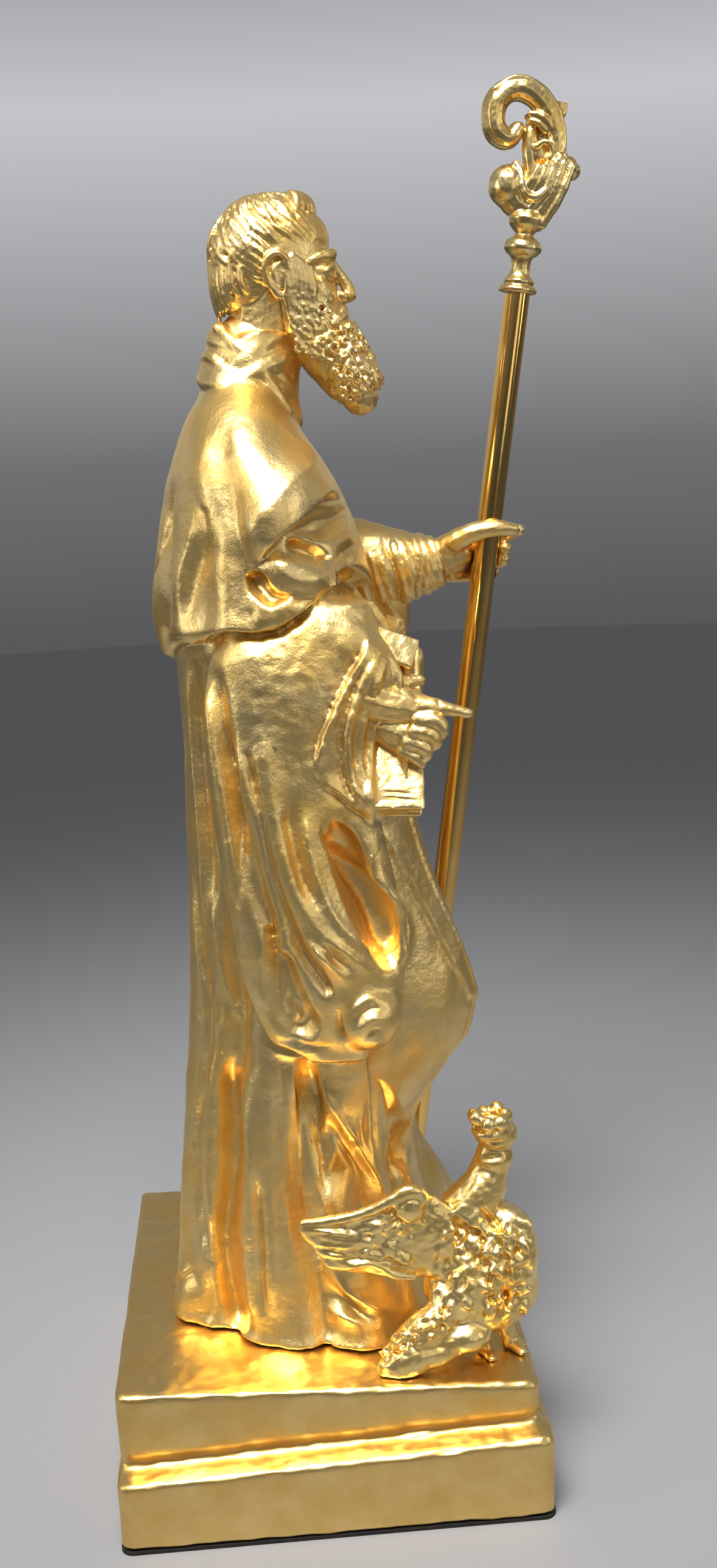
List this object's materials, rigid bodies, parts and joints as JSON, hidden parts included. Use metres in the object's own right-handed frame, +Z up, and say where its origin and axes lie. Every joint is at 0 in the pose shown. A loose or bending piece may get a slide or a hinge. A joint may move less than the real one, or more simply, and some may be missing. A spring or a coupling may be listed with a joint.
{
  "type": "saint statue",
  "caption": "Gilt cast bronze standing abbot in cape and cowl with a long curly beard, holding a crozier and a book, a raven with bread at the feet, on a two-tier plinth.",
  "frame": {"origin": "centre of the underside of the black sheet under the plinth", "axes": "+X the way the figure faces, +Y to the figure's left, +Z up"},
  "size_m": [0.1515, 0.139, 0.394],
  "materials": {
    "figure_gilt": "gilt cast bronze, satin with bright rubbed places",
    "plinth_gilt": "gilt cast bronze, filed and burnished by hand",
    "raven_gilt": "gilt cast bronze, chased feathers",
    "rod_gilt": "gilt rod, mirror polished",
    "crozier_gilt": "gilt cast bronze, polished",
    "black_sheet": "thin matt black sheet"
  },
  "bodies": {
    "root": {"base_pad": "black_sheet", "plinth": "plinth_gilt", "figure": "figure_gilt", "raven": "raven_gilt", "crozier_shaft": "rod_gilt", "crozier_head": "crozier_gilt"}
  },
  "joints": []
}
